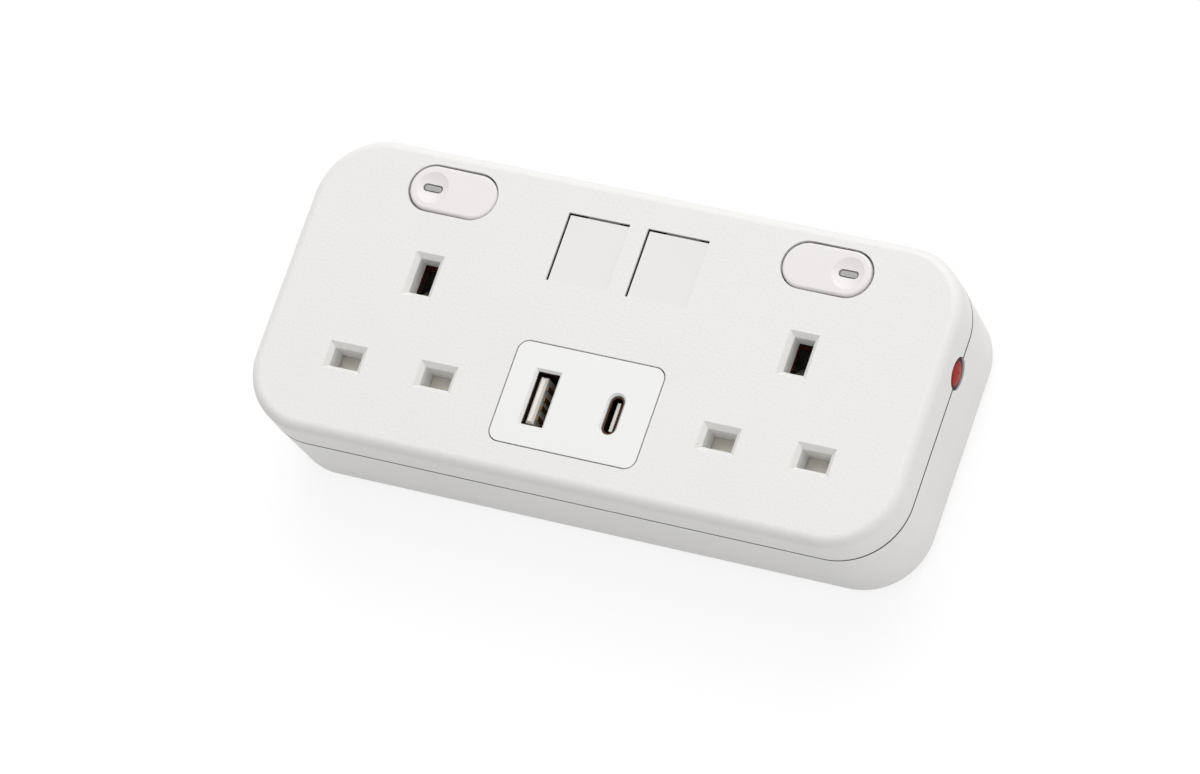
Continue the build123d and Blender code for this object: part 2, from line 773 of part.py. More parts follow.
# Live contacts: a clip for the live pin, a strip, and a fixed rivet under the see-saw's inner end
for side_name, side in SIDES:
    clip_x = side * socket_x + pin_spacing / 2
    rivet_x = side * (rocker_x - saw_reach)
    with BuildPart() as live_contact:
        with BuildSketch(Plane.XY.offset(live_z)):
            with Locations((clip_x, (line_y + live_turn_y) / 2)):
                Rectangle(bar_width, live_turn_y - line_y + bar_width)
            with Locations(((clip_x + rivet_x) / 2, live_turn_y)):
                Rectangle(abs(clip_x - rivet_x) + bar_width, bar_width)
            with Locations((rivet_x, (live_turn_y + rocker_y) / 2)):
                Rectangle(bar_width, live_turn + bar_width)
        extrude(amount=bar_thickness)
        with BuildSketch(Plane.XY.offset(live_z + bar_thickness)):
            with Locations((rivet_x, rocker_y)):
                Circle(rivet_radius)
        extrude(amount=rivet_height)
        with BuildSketch(Plane(origin=(clip_x, line_y, 0), x_dir=(0, 1, 0), z_dir=(1, 0, 0))):
            clip_profile(clip_grip_line, live_z, carrier_bottom - clip_headroom)
        extrude(amount=clip_length_line / 2, both=True)
    live_contact.part.label = f"live_contact_{side_name}"
    export_step(live_contact.part, f"parts/live_contact_{side_name}.step")

# Rockers and what they carry, tipped so that the marked outer end stands up
for side_name, side in SIDES:
    rocker_plane = Plane(
        origin=(side * rocker_x, rocker_y, pivot_z),
        x_dir=(cos(tilt), 0, side * sin(tilt)),
        z_dir=(-side * sin(tilt), 0, cos(tilt)),
    )
    rocker_axis = Axis(rocker_plane.origin, rocker_plane.z_dir)
    mark = side * window_reach
    with BuildPart() as rocker:
        with BuildSketch(rocker_plane.offset(-skirt_depth)):
            SlotOverall(rocker_length, rocker_width)
        extrude(amount=skirt_depth + crown_height)
        fillet(rocker.faces().sort_by(rocker_axis)[-1].edges(), rocker_round)
        with BuildSketch(rocker_plane.offset(ledge_top - ledge_thickness)):
            SlotOverall(ledge_length, rocker_width)
        extrude(amount=ledge_thickness)
        with BuildSketch(Plane(origin=rocker_plane.origin, z_dir=(0, 1, 0))):
            Circle(pivot_radius)
        extrude(amount=rocker_width / 2 + pivot_reach, both=True)
        with BuildSketch(rocker_plane.offset(-skirt_depth)):
            SlotOverall(rocker_length - 2 * rocker_wall, rocker_width - 2 * rocker_wall)
        extrude(amount=skirt_depth + crown_under, mode=Mode.SUBTRACT)
        with BuildSketch(rocker_plane.offset(-tube_drop)):
            Circle(tube_radius)
            Circle(plunger_radius + plunger_clearance, mode=Mode.SUBTRACT)
        extrude(amount=tube_drop + crown_under)
        with Locations(rocker_plane.from_local_coords((mark, 0, dimple_rise))):
            Sphere(dimple_sphere, mode=Mode.SUBTRACT)
        with BuildSketch(rocker_plane.offset(crown_under)):
            with Locations((mark, 0)):
                SlotOverall(window_length, window_width)
        extrude(amount=rocker_crown, mode=Mode.SUBTRACT)
    rocker.part.label = f"rocker_{side_name}"
    export_step(rocker.part, f"parts/rocker_{side_name}.step")

    with BuildPart() as window:
        with BuildSketch(rocker_plane.offset(crown_under)):
            with Locations((mark, 0)):
                SlotOverall(window_length - 2 * window_gap, window_width - 2 * window_gap)
        extrude(amount=rocker_crown - dimple_depth)
        with BuildSketch(rocker_plane.offset(crown_under - window_flange_thickness)):
            with Locations((mark, 0)):
                SlotOverall(window_length + window_flange, window_width + window_flange)
        extrude(amount=window_flange_thickness)
    window.part.label = f"rocker_window_{side_name}"
    export_step(window.part, f"parts/rocker_window_{side_name}.step")

    with BuildPart() as plunger:
        with BuildSketch(rocker_plane.offset(-plunger_tip + plunger_radius)):
            Circle(plunger_radius)
        extrude(amount=plunger_tip - plunger_radius - plunger_top)
        with Locations(rocker_plane.from_local_coords((0, 0, plunger_radius - plunger_tip))):
            Sphere(plunger_radius)
    plunger.part.label = f"plunger_{side_name}"
    export_step(plunger.part, f"parts/plunger_{side_name}.step")

    coil_end = plunger_spring_wire + spring_seat_gap
    coil_height = crown_under + plunger_top - 2 * coil_end
    with BuildPart() as plunger_spring:
        with BuildLine() as coil:
            Helix(
                pitch=coil_height / plunger_spring_turns,
                height=coil_height,
                radius=plunger_spring_radius,
                center=rocker_plane.from_local_coords((0, 0, coil_end - plunger_top)),
                direction=rocker_plane.z_dir,
            )
        with BuildSketch(Plane(origin=coil.line @ 0, z_dir=coil.line % 0)):
            RegularPolygon(plunger_spring_wire, wire_sides)
        sweep(path=coil.line, is_frenet=True)
    plunger_spring.part.label = f"plunger_spring_{side_name}"
    export_step(plunger_spring.part, f"parts/plunger_spring_{side_name}.step")

# See-saw contacts: brass strips on stub pivots, outer end pressed down by the plunger
for side_name, side in SIDES:
    saw_plane = Plane(
        origin=(side * rocker_x, rocker_y, saw_z),
        x_dir=(cos(dip), 0, -side * sin(dip)),
        z_dir=(side * sin(dip), 0, cos(dip)),
    )
    with BuildPart() as see_saw:
        with BuildSketch(saw_plane.offset(-saw_thickness / 2)):
            Rectangle(saw_length, saw_width)
        extrude(amount=saw_thickness)
        for end in (-1, 1):
            stub_root = (side * rocker_x, rocker_y + end * saw_width / 2, saw_z)
            with BuildSketch(Plane(origin=stub_root, z_dir=(0, end, 0))):
                Circle(saw_pivot_radius)
            extrude(amount=(saw_pivot_length - saw_width) / 2)
        with BuildSketch(saw_plane.offset(-saw_thickness / 2)):
            with Locations((-side * saw_reach, 0)):
                Circle(rivet_radius)
        extrude(amount=-rivet_height)
    see_saw.part.label = f"see_saw_{side_name}"
    export_step(see_saw.part, f"parts/see_saw_{side_name}.step")

# Data blanks: sunk plates with a strap that lies against the back of the face and is held by the hooks.
# The plate is set over to the front and right, which leaves a gap on the other sides to pry it out by
for side_name, side in SIDES:
    with BuildPart() as data_blank:
        with BuildSketch(Plane(origin=(side * blank_pitch / 2, blank_y, ceiling_z))):
            with Locations((blank_shift, -blank_shift)):
                Rectangle(blank_length - 2 * blank_gap, blank_width - 2 * blank_gap)
        extrude(amount=wall - blank_sink)
        with BuildSketch(Plane(origin=(side * blank_pitch / 2, blank_y, ceiling_z - flange_thickness))):
            Rectangle(blank_strap, blank_width + 2 * strap_reach)
        extrude(amount=flange_thickness)
    data_blank.part.label = f"data_blank_{side_name}"
    export_step(data_blank.part, f"parts/data_blank_{side_name}.step")

# Charger plate: flush fascia with a flange behind the face and a flared mouth at each port
with BuildPart() as charger_plate:
    with BuildSketch(Plane(origin=(0, plate_y, ceiling_z))):
        RectangleRounded(plate_length - 2 * plate_gap, plate_width - 2 * plate_gap, plate_round - plate_gap)
    extrude(amount=wall)
    with BuildSketch(Plane(origin=(0, plate_y, ceiling_z - flange_thickness))):
        RectangleRounded(plate_length + 2 * flange_reach, plate_width + 2 * flange_reach, plate_round)
    extrude(amount=flange_thickness)
    with BuildSketch(Plane(origin=(wide_port_x, port_y, ceiling_z - flange_thickness))):
        Rectangle(wide_port_width, wide_port_length)
    extrude(amount=wall + flange_thickness, mode=Mode.SUBTRACT)
    chamfer(charger_plate.faces().sort_by(Axis.Z)[-1].inner_wires().edges(), wide_port_flare)
    with BuildSketch(Plane(origin=(oval_port_x, port_y, ceiling_z - flange_thickness))):
        SlotOverall(
            oval_port_length + 2 * (port_metal + port_clearance),
            oval_port_width + 2 * (port_metal + port_clearance),
            rotation=90,
        )
    extrude(amount=wall + flange_thickness, mode=Mode.SUBTRACT)
    oval_rim = charger_plate.faces().sort_by(Axis.Z)[-1].inner_wires().sort_by(Axis.X)[-1]
    chamfer(oval_rim.edges(), oval_port_flare)
    with BuildSketch(Plane(origin=(wide_port_x, port_y, ceiling_z - flange_thickness))):
        Rectangle(
            wide_port_width + 2 * (port_metal + port_clearance),
            wide_port_length + 2 * (port_metal + port_clearance),
        )
    extrude(amount=wall + flange_thickness - port_lip - wide_port_flare, mode=Mode.SUBTRACT)
charger_plate.part.label = "charger_plate"
export_step(charger_plate.part, "parts/charger_plate.step")

# Charger board, on its four posts
with BuildPart() as charger_board:
    with BuildSketch(Plane.XY.offset(board_z)):
        with Locations((0, plate_y)):
            Rectangle(board_length, board_width)
        with Locations(*board_posts):
            Circle(small_screw_radius + thread_clearance, mode=Mode.SUBTRACT)
    extrude(amount=board_thickness)
charger_board.part.label = "charger_board"
export_step(charger_board.part, "parts/charger_board.step")

with BuildPart() as board_screws:
    with BuildSketch(Plane.XY.offset(board_top)):
        with Locations(*board_posts):
            Circle(small_head_radius)
    extrude(amount=small_head_height)
    with BuildSketch(Plane.XY.offset(board_top)):
        with Locations(*board_posts):
            Circle(small_screw_radius)
    extrude(amount=-board_thickness - small_screw_bite + slip_clearance)
board_screws.part.label = "board_screws"
export_step(board_screws.part, "parts/board_screws.step")

# Wide port: a folded steel can, a tongue towards its left side and four contacts on the tongue
wide_port_top = port_top - wide_port_flare
with BuildPart() as wide_port_shell:
    with BuildSketch(Plane(origin=(wide_port_x, port_y, board_top))):
        Rectangle(wide_port_width + 2 * port_metal, wide_port_length + 2 * port_metal)
    extrude(amount=wide_port_top - board_top)
    with BuildSketch(Plane(origin=(wide_port_x, port_y, board_top + port_metal))):
        Rectangle(wide_port_width, wide_port_length)
    extrude(amount=wide_port_top - board_top - port_metal, mode=Mode.SUBTRACT)
wide_port_shell.part.label = "wide_port_shell"
export_step(wide_port_shell.part, "parts/wide_port_shell.step")

tongue_x = wide_port_x - wide_tongue_offset
contact_x = tongue_x + (wide_tongue_width + pad_contact_thickness) / 2
tongue_top = wide_port_top - wide_tongue_sink
with BuildPart() as wide_port_tongue:
    with BuildSketch(Plane(origin=(tongue_x, port_y, board_top + port_metal))):
        Rectangle(wide_tongue_width, wide_tongue_length)
    extrude(amount=tongue_top - board_top - port_metal)
    chamfer(wide_port_tongue.faces().sort_by(Axis.Z)[-1].edges(), wide_tongue_chamfer)
wide_port_tongue.part.label = "wide_port_tongue"
export_step(wide_port_tongue.part, "parts/wide_port_tongue.step")

with BuildPart() as wide_port_contacts:
    with BuildSketch(Plane(origin=(contact_x, port_y, board_top + port_metal))):
        with Locations(*[(0, place) for place in pad_contact_places]):
            Rectangle(pad_contact_thickness, pad_contact_width)
    extrude(amount=tongue_top - pad_contact_sink - board_top - port_metal)
wide_port_contacts.part.label = "wide_port_contacts"
export_step(wide_port_contacts.part, "parts/wide_port_contacts.step")

# Oval port: a drawn steel sleeve round a thin central tongue
oval_port_top = port_top - oval_port_flare
with BuildPart() as oval_port_shell:
    with BuildSketch(Plane(origin=(oval_port_x, port_y, board_top))):
        SlotOverall(oval_port_length + 2 * port_metal, oval_port_width + 2 * port_metal, rotation=90)
    extrude(amount=oval_port_top - board_top)
    with BuildSketch(Plane(origin=(oval_port_x, port_y, board_top + port_metal))):
        SlotOverall(oval_port_length, oval_port_width, rotation=90)
    extrude(amount=oval_port_top - board_top - port_metal, mode=Mode.SUBTRACT)
oval_port_shell.part.label = "oval_port_shell"
export_step(oval_port_shell.part, "parts/oval_port_shell.step")

with BuildPart() as oval_port_tongue:
    with BuildSketch(Plane(origin=(oval_port_x, port_y, board_top + port_metal))):
        Rectangle(oval_tongue_width, oval_tongue_length)
    extrude(amount=oval_port_top - oval_tongue_sink - board_top - port_metal)
oval_port_tongue.part.label = "oval_port_tongue"
export_step(oval_port_tongue.part, "parts/oval_port_tongue.step")

# Transformer under the board: a ferrite core round a wider winding
with BuildPart() as charger_transformer:
    with BuildSketch(Plane(origin=(0, plate_y, board_z))):
        Rectangle(transformer_length, transformer_core)
    extrude(amount=-transformer_height)
    with BuildSketch(Plane(origin=(0, plate_y, board_z))):
        Rectangle(transformer_core, transformer_width)
    extrude(amount=winding_inset - transformer_height)
charger_transformer.part.label = "charger_transformer"
export_step(charger_transformer.part, "parts/charger_transformer.step")

with BuildPart() as charger_capacitors:
    with BuildSketch(Plane(origin=(0, port_y, board_top))):
        with GridLocations(0, capacitor_spacing, 1, 2):
            Circle(capacitor_radius)
    extrude(amount=capacitor_height)
    chamfer(charger_capacitors.faces().group_by(Axis.Z)[-1].edges(), capacitor_chamfer)
charger_capacitors.part.label = "charger_capacitors"
export_step(charger_capacitors.part, "parts/charger_capacitors.step")

# Red lens: a domed stud with a flange behind the wall and a tube that holds the lamp
lens_plane = Plane(origin=(body_length / 2, lens_y, end_axis_z), x_dir=(-1, 0, 0), z_dir=(0, 1, 0))
lens_back = wall + lens_flange
lens_sphere = (lens_radius**2 + lens_dome**2) / (2 * lens_dome)
lens_half_sag = lens_sphere - sqrt(lens_sphere**2 - (lens_radius / 2) ** 2)
with BuildPart() as neon_lens:
    with BuildSketch(lens_plane):
        with BuildLine():
            ThreePointArc(
                (lens_dome, lens_radius),
                (lens_half_sag, lens_radius / 2),
                (0, 0),
            )
            Polyline(
                (0, 0),
                (lens_skin, 0),
                (lens_skin, lamp_radius + lamp_clearance),
                (lens_back + lens_tube_length, lamp_radius + lamp_clearance),
                (lens_back + lens_tube_length, lens_tube_radius),
                (lens_back, lens_tube_radius),
                (lens_back, lens_flange_radius),
                (wall, lens_flange_radius),
                (wall, lens_radius),
                (lens_dome, lens_radius),
            )
        make_face()
    revolve(axis=Axis(lens_plane.origin, (1, 0, 0)))
neon_lens.part.label = "neon_lens"
export_step(neon_lens.part, "parts/neon_lens.step")

with BuildPart() as neon_lamp:
    lamp_nose = (body_length / 2 - lens_skin - lamp_clearance, lens_y, end_axis_z)
    with BuildSketch(Plane(origin=lamp_nose, z_dir=(-1, 0, 0))):
        Circle(lamp_radius)
    extrude(amount=lamp_length)
    fillet(neon_lamp.faces().sort_by(Axis.X)[-1].edges(), lamp_round)
neon_lamp.part.label = "neon_lamp"
export_step(neon_lamp.part, "parts/neon_lamp.step")

# Cord gland: a bush whose square neck is held in the left-hand end wall, so that it can't turn with the cord
gland_flange_x = gland_end_x + wall
gland_nose_x = gland_flange_x + gland_flange_thickness
with BuildPart() as cord_gland:
    with BuildSketch(end_plane(gland_end_x)):
        Rectangle(gland_side, gland_side)
    extrude(amount=wall)
    with BuildSketch(end_plane(gland_flange_x)):
        Rectangle(gland_side + 2 * gland_flange, gland_side + 2 * gland_flange)
    extrude(amount=gland_flange_thickness)
    with BuildSketch(end_plane(gland_nose_x)):
        Circle(gland_bore + gland_nose_wall)
    extrude(amount=gland_nose)
    with BuildSketch(end_plane(gland_end_x)):
        Circle(gland_bore)
    extrude(amount=gland_nose_x + gland_nose - gland_end_x, mode=Mode.SUBTRACT)
cord_gland.part.label = "cord_gland"
export_step(cord_gland.part, "parts/cord_gland.step")

# Cord clamp: an arched strap across the cord's saddle, with a screw in each foot
with BuildPart() as cord_clamp:
    with BuildSketch(end_plane(clamp_x)):
        Circle(gland_bore + clamp_metal)
        with Locations((0, clamp_metal / 2 - clamp_drop)):
            Rectangle(2 * clamp_post_y + clamp_foot, clamp_metal)
        Circle(gland_bore, mode=Mode.SUBTRACT)
        with Locations((0, -clamp_drop - gland_bore)):
            Rectangle(2 * clamp_post_y + clamp_foot, 2 * gland_bore, mode=Mode.SUBTRACT)
    extrude(amount=clamp_width / 2, both=True)
    with BuildSketch(Plane.XY.offset(clamp_seat_z)):
        with Locations(*clamp_posts):
            Circle(small_screw_radius + thread_clearance)
    extrude(amount=clamp_metal, mode=Mode.SUBTRACT)
cord_clamp.part.label = "cord_clamp"
export_step(cord_clamp.part, "parts/cord_clamp.step")

with BuildPart() as clamp_screws:
    with BuildSketch(Plane.XY.offset(clamp_seat_z + clamp_metal)):
        with Locations(*clamp_posts):
            Circle(small_head_radius)
    extrude(amount=small_head_height)
    with BuildSketch(Plane.XY.offset(clamp_seat_z + clamp_metal)):
        with Locations(*clamp_posts):
            Circle(small_screw_radius)
    extrude(amount=-clamp_metal - small_screw_bite + slip_clearance)
clamp_screws.part.label = "clamp_screws"
export_step(clamp_screws.part, "parts/clamp_screws.step")
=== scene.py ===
from math import cos, radians, sin

import bpy
import numpy as np
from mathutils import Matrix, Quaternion, Vector


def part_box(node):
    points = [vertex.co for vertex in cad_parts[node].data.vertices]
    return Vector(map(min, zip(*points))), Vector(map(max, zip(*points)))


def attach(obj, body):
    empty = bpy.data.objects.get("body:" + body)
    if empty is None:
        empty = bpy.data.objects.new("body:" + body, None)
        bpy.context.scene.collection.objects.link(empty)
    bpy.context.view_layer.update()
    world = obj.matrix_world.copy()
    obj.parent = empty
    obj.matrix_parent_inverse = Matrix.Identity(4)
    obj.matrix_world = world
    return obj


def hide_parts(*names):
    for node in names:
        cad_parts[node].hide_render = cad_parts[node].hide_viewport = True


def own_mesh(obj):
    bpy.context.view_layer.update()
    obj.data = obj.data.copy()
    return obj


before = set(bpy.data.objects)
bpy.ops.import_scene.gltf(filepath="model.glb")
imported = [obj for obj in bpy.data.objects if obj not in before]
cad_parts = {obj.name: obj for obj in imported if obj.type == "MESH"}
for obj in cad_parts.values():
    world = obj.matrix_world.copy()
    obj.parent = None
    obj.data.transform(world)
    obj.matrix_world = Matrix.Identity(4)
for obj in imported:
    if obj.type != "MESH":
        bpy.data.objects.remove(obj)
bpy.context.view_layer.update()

# Base shell: the deep rear half of the case, injection-moulded in white ABS.
# Its mould was spark-eroded, so the skin has a faint even grain and a soft sheen.
# It carries the bars and the board, and a lip that the cover drops over.
MM = 0.001


def linear(hex_colour):
    """sRGB hex to linear RGBA: c / 12.92 near black, else ((c + 0.055) / 1.055) to the power 2.4."""
    srgb = np.array([int(hex_colour[i:i + 2], 16) for i in (1, 3, 5)]) / 255
    value = np.where(srgb <= 0.04045, srgb / 12.92, ((srgb + 0.055) / 1.055) ** 2.4)
    return (*value.tolist(), 1.0)


def add_node(tree, kind, inputs, **settings):
    """Add one node, or take the shader that is there, give it its settings and set or link its inputs."""
    made = tree.nodes.get(kind) or tree.nodes.new(kind)
    for name, value in settings.items():
        setattr(made, name, value)
    for name, value in inputs.items():
        if isinstance(value, bpy.types.NodeSocket):
            tree.links.new(value, made.inputs[name])
        else:
            made.inputs[name].default_value = value
    return made


# A Mix node's colour sockets go by number, because its sockets of other kinds have the same names.
mix_first = 6
mix_second = 7
mix_result = 2


def start_material(name):
    """A node material, its tree and the Object coordinates that its patterns read."""
    material = bpy.data.materials.new(name)
    material.use_nodes = True
    tree = material.node_tree
    return material, tree, add_node(tree, "ShaderNodeTexCoord", {}).outputs["Object"]


def box_mm(node):
    """Lowest and highest corner of a CAD node, in millimetres."""
    return [np.array(corner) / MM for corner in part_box(node)]


def moulded_plastic(name, colour, shade, roughness, grain_mm, depth_mm, speck_mm=None, seam_shade_mm=None):
    """Moulded plastic: grain as fine relief and uneven gloss, and a slow drift of shade.
    Specks, where asked for, are rare dark dots, and a seam is a band of painted shade at a middle and half
    height."""
    drift_mm = 22.0
    drift_detail = 3.0
    grain_detail = 2.0
    grain_relief = 0.5
    gloss_spread = 0.05
    speck_spacing_mm = 30.0
    speck_colour = "#8d8983"
    seam_shade_colour = "#6b6864"
    plastic_ior = 1.53
    material, tree, place = start_material(name)
    drift = add_node(
        tree, "ShaderNodeTexNoise", {"Vector": place, "Scale": 1 / (drift_mm * MM), "Detail": drift_detail}
    )
    tone = add_node(
        tree,
        "ShaderNodeMix",
        {"Factor": drift.outputs["Fac"], mix_first: linear(colour), mix_second: linear(shade)},
        data_type="RGBA",
    ).outputs[mix_result]
    if speck_mm:
        cells = add_node(
            tree, "ShaderNodeTexVoronoi", {"Vector": place, "Scale": 1 / (speck_spacing_mm * MM)}
        )
        inside = add_node(
            tree,
            "ShaderNodeMath",
            {0: cells.outputs["Distance"], 1: speck_mm / speck_spacing_mm},
            operation="LESS_THAN",
        )
        tone = add_node(
            tree,
            "ShaderNodeMix",
            {"Factor": inside.outputs["Value"], mix_first: tone, mix_second: linear(speck_colour)},
            data_type="RGBA",
        ).outputs[mix_result]
    # Painted shade: faces between the seam's two heights are darkened, as the shadow in the gap.
    if seam_shade_mm:
        height = add_node(tree, "ShaderNodeSeparateXYZ", {"Vector": place})
        between = add_node(
            tree,
            "ShaderNodeMath",
            {0: height.outputs["Z"], 1: seam_shade_mm[0] * MM, 2: seam_shade_mm[1] * MM},
            operation="COMPARE",
        )
        tone = add_node(
            tree,
            "ShaderNodeMix",
            {"Factor": between.outputs["Value"], mix_first: tone, mix_second: linear(seam_shade_colour)},
            data_type="RGBA",
        ).outputs[mix_result]
    grain = add_node(
        tree, "ShaderNodeTexNoise", {"Vector": place, "Scale": 1 / (grain_mm * MM), "Detail": grain_detail}
    )
    gloss = add_node(
        tree,
        "ShaderNodeMapRange",
        {
            "Value": grain.outputs["Fac"],
            "To Min": roughness - gloss_spread,
            "To Max": roughness + gloss_spread,
        },
    )
    relief = add_node(
        tree,
        "ShaderNodeBump",
        {"Height": grain.outputs["Fac"], "Strength": grain_relief, "Distance": depth_mm * MM},
    )
    add_node(
        tree,
        "Principled BSDF",
        {
            "Base Color": tone,
            "Roughness": gloss.outputs["Result"],
            "Normal": relief.outputs["Normal"],
            "IOR": plastic_ior,
        },
    )
    return material


def dress(material, *nodes):
    """Give CAD nodes their finish."""
    for node in nodes:
        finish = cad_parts[node].data.materials
        finish.clear()
        finish.append(material)


# ABS off a spark-eroded mould looks an even white, with a soft sheen and a few specks.
# Its grain is drawn at 0.7 mm, coarser than real, so that it shows.
# Painted shade darkens the seam, from the base's rim, where the cover's posts end, up to the cover's rim.
seam_half_mm = 0.27
seam_spare_mm = 0.01
painted_seam_shade = (box_mm("top_cover")[0][2] + seam_half_mm, seam_half_mm + seam_spare_mm)
case_abs = moulded_plastic(
    "white_abs_spark_eroded",
    "#edecea",
    "#e9e8e6",
    roughness=0.42,
    grain_mm=0.7,
    depth_mm=0.11,
    speck_mm=0.22,
    seam_shade_mm=painted_seam_shade,
)
dress(case_abs, "base_shell")

# Feet: four discs punched from black rubber sheet, stuck into round recesses under the base.
# They stand a little proud, so only their rims and undersides show.


def matt_rubber(name, colour, worn):
    """Rubber: nearly black, dull, with a fine talc bloom that lightens it in patches."""
    bloom_mm = 1.5
    bloom_detail = 4.0
    pore_mm = 0.25
    pore_depth_mm = 0.02
    pore_relief = 0.4
    material, tree, place = start_material(name)
    bloom = add_node(
        tree, "ShaderNodeTexNoise", {"Vector": place, "Scale": 1 / (bloom_mm * MM), "Detail": bloom_detail}
    )
    tone = add_node(
        tree,
        "ShaderNodeMix",
        {"Factor": bloom.outputs["Fac"], mix_first: linear(colour), mix_second: linear(worn)},
        data_type="RGBA",
    )
    pores = add_node(tree, "ShaderNodeTexNoise", {"Vector": place, "Scale": 1 / (pore_mm * MM)})
    relief = add_node(
        tree,
        "ShaderNodeBump",
        {"Height": pores.outputs["Fac"], "Strength": pore_relief, "Distance": pore_depth_mm * MM},
    )
    add_node(
        tree,
        "Principled BSDF",
        {
            "Base Color": tone.outputs[mix_result],
            "Roughness": 0.82,
            "Normal": relief.outputs["Normal"],
            "IOR": 1.52,
        },
    )
    return material


dress(matt_rubber("black_rubber_sheet", "#1d1d1e", "#2f2f30"), "rubber_feet")

# Bars and contacts: earth, neutral and live strips with the pin clips folded up from them.
# They are pressed from half-hard brass sheet and lie on pads in the base; the see-saws rock in the live bar.


def rolled_metal(name, colour, stain, roughness, line_mm, along):
    """Rolled metal: fine lines stretched along the rolling direction, and a faint stain in patches."""
    stretch = 30.0
    line_detail = 2.0
    line_depth_mm = 0.01
    line_relief = 0.2
    stain_mm = 6.0
    stain_detail = 3.0
    gloss_spread = 0.08
    material, tree, place = start_material(name)
    squeezed = [1.0, 1.0, 1.0]
    squeezed["XYZ".index(along)] = 1 / stretch
    run = add_node(tree, "ShaderNodeMapping", {"Vector": place, "Scale": squeezed})
    lines = add_node(
        tree,
        "ShaderNodeTexNoise",
        {"Vector": run.outputs["Vector"], "Scale": 1 / (line_mm * MM), "Detail": line_detail},
    )
    patches = add_node(
        tree, "ShaderNodeTexNoise", {"Vector": place, "Scale": 1 / (stain_mm * MM), "Detail": stain_detail}
    )
    tone = add_node(
        tree,
        "ShaderNodeMix",
        {"Factor": patches.outputs["Fac"], mix_first: linear(colour), mix_second: linear(stain)},
        data_type="RGBA",
    )
    gloss = add_node(
        tree,
        "ShaderNodeMapRange",
        {
            "Value": lines.outputs["Fac"],
            "To Min": roughness - gloss_spread,
            "To Max": roughness + gloss_spread,
        },
    )
    relief = add_node(
        tree,
        "ShaderNodeBump",
        {"Height": lines.outputs["Fac"], "Strength": line_relief, "Distance": line_depth_mm * MM},
    )
    add_node(
        tree,
        "Principled BSDF",
        {
            "Base Color": tone.outputs[mix_result],
            "Metallic": 1.0,
            "Roughness": gloss.outputs["Result"],
            "Normal": relief.outputs["Normal"],
        },
    )
    return material


# Half-hard brass looks a dull yellow, with fine lines along the way it was rolled.
brass_strip = rolled_metal(
    "half_hard_brass_strip", "#b98f4e", "#9a713a", roughness=0.34, line_mm=0.2, along="X"
)
dress(brass_strip, "earth_bar", "neutral_bar", "live_bar", "live_contact_left", "live_contact_right")
dress(brass_strip, "see_saw_left", "see_saw_right")

# Charger board: a green glass-epoxy panel on four posts, with a transformer below it,
# two sleeved capacitors above it, and both charging ports soldered on upright.


def solder_mask(name, colour, track):
    """Glass epoxy under solder mask: lighter tracks show as narrow bands, about 2.5 mm apart.
    A wave texture draws about three bands in each unit of its scale."""
    track_pitch_mm = 2.54
    bands_per_unit = 3
    track_wander = 2.0
    track_edge = (0.6, 0.7)
    material, tree, place = start_material(name)
    bands = add_node(
        tree,
        "ShaderNodeTexWave",
        {
            "Vector": place,
            "Scale": 1 / (bands_per_unit * track_pitch_mm * MM),
            "Distortion": track_wander,
            "Detail": 0.0,
        },
        bands_direction="Y",
    )
    edge = add_node(
        tree,
        "ShaderNodeMapRange",
        {"Value": bands.outputs["Fac"], "From Min": track_edge[0], "From Max": track_edge[1]},
    )
    tone = add_node(
        tree,
        "ShaderNodeMix",
        {"Factor": edge.outputs["Result"], mix_first: linear(colour), mix_second: linear(track)},
        data_type="RGBA",
    )
    add_node(tree, "Principled BSDF", {"Base Color": tone.outputs[mix_result], "Roughness": 0.3, "IOR": 1.5})
    return material


# Solder mask looks a glossy green, sintered ferrite a dull dark grey and shrunk sleeve a smooth blue-black.
dress(solder_mask("green_solder_mask", "#1d5a35", "#2f7a48"), "charger_board")
dark_ferrite = moulded_plastic(
    "sintered_ferrite", "#3a3a3d", "#2c2c2f", roughness=0.6, grain_mm=0.4, depth_mm=0.03
)
dress(dark_ferrite, "charger_transformer")
shrunk_sleeve = moulded_plastic(
    "shrunk_sleeve", "#24252c", "#1e1f25", roughness=0.3, grain_mm=0.8, depth_mm=0.01
)
dress(shrunk_sleeve, "charger_capacitors")

# Wide port: a folded nickel-plated steel can, an ivory tongue with four contacts,
# and spring leaves pressed inwards from the can's long walls to grip a plug.
wide_leaf_width = 2.0
wide_leaf_length = 6.0
wide_leaf_thickness = 0.15
wide_leaf_bulge = 0.25
wide_leaf_offset = 3.4
wide_leaf_sink = 3.5
wide_leaf_ring_count = 13
wide_can_metal = 0.3


def closed_tubes(name, tubes):
    """One object from closed tubes, in millimetres: an array of tube, ring, point and coordinate.
    Quads join each point to the next in its ring and to the ring after, and one face closes each end."""
    sharp_degrees = 40.0
    count, rings, points = tubes.shape[:3]
    start = np.arange(count)[:, None, None] * rings * points
    ring = start + np.arange(rings - 1)[None, :, None] * points
    here = np.arange(points)
    after = np.roll(here, -1)
    sides = np.stack([ring + here, ring + after, ring + points + after, ring + points + here], axis=-1)
    first = start[:, 0] + here[::-1]
    last = start[:, 0] + (rings - 1) * points + here
    mesh = bpy.data.meshes.new(name)
    faces = sides.reshape(-1, 4).tolist() + first.tolist() + last.tolist()
    mesh.from_pydata((tubes.reshape(-1, 3) * MM).tolist(), [], faces)
    mesh.shade_smooth()
    mesh.set_sharp_from_angle(angle=radians(sharp_degrees))
    piece = bpy.data.objects.new(name, mesh)
    bpy.context.scene.collection.objects.link(piece)
    return piece


